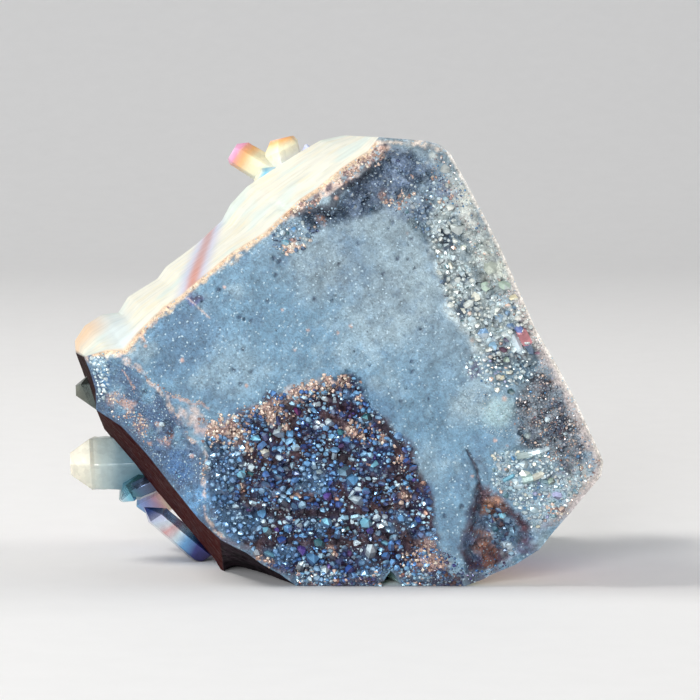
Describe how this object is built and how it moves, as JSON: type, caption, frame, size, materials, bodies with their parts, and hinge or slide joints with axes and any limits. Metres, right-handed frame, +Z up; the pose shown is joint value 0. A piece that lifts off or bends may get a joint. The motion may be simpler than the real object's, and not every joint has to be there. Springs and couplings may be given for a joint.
{
  "type": "aura quartz cluster",
  "caption": "Free-standing aura quartz cluster: a big crystal lying on its side, broken druse-studded face at the front, smaller quartz points at the left and back.",
  "frame": {"origin": "middle of the specimen's footprint box, on the surface it rests on", "axes": "+Z up; +Y from the broken front face towards the crystal tips at the back; +X to the right as seen from the front"},
  "size_m": [0.047, 0.0348, 0.0383],
  "materials": {
    "aura_quartz": "satin"
  },
  "bodies": {
    "root": {"quartz_cluster": "aura_quartz"}
  },
  "joints": []
}
